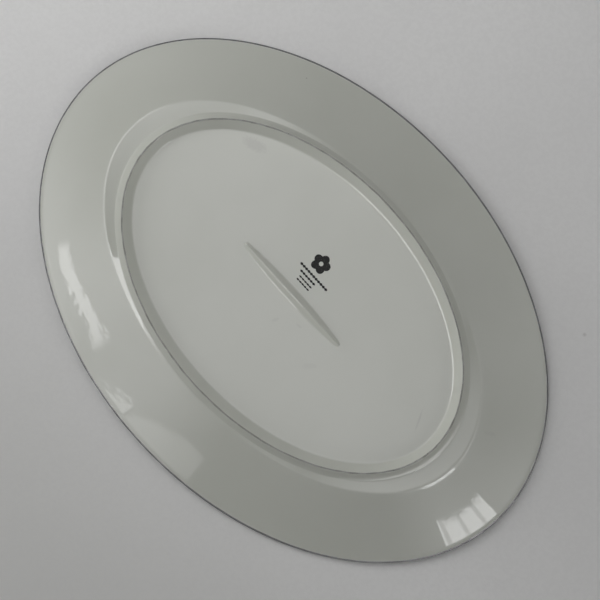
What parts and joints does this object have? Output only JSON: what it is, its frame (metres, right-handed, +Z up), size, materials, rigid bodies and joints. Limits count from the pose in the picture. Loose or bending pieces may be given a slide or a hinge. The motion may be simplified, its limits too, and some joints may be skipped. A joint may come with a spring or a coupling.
{
  "type": "oval serving platter",
  "caption": "Oval glazed china serving platter with a wide sloping flange, a shallow well, an oval foot ring, a support bar under the well and a thin metal rim band.",
  "frame": {"origin": "on the resting plane, under the centre of the platter", "axes": "+Z up, out of the well; +X along the platter's length; +Y across it. The printed mark is on the -Y side of the support bar, with its top towards -Y"},
  "size_m": [0.3556, 0.2486, 0.022],
  "materials": {
    "glazed_china": "clear glossy glaze over white china",
    "bare_foot": "unglazed ground edge, slightly soiled",
    "platinum_band": "fired platinum film, softly polished",
    "mark_print": "black fired print"
  },
  "bodies": {
    "root": {"platter_body": "glazed_china", "foot_ring": "glazed_china", "support_bar": "glazed_china", "foot_edge": "bare_foot", "rim_band": "platinum_band", "backstamp_emblem": "mark_print", "backstamp_rule_1": "mark_print", "backstamp_rule_2": "mark_print", "backstamp_rule_3": "mark_print", "backstamp_rule_4": "mark_print"}
  },
  "joints": []
}
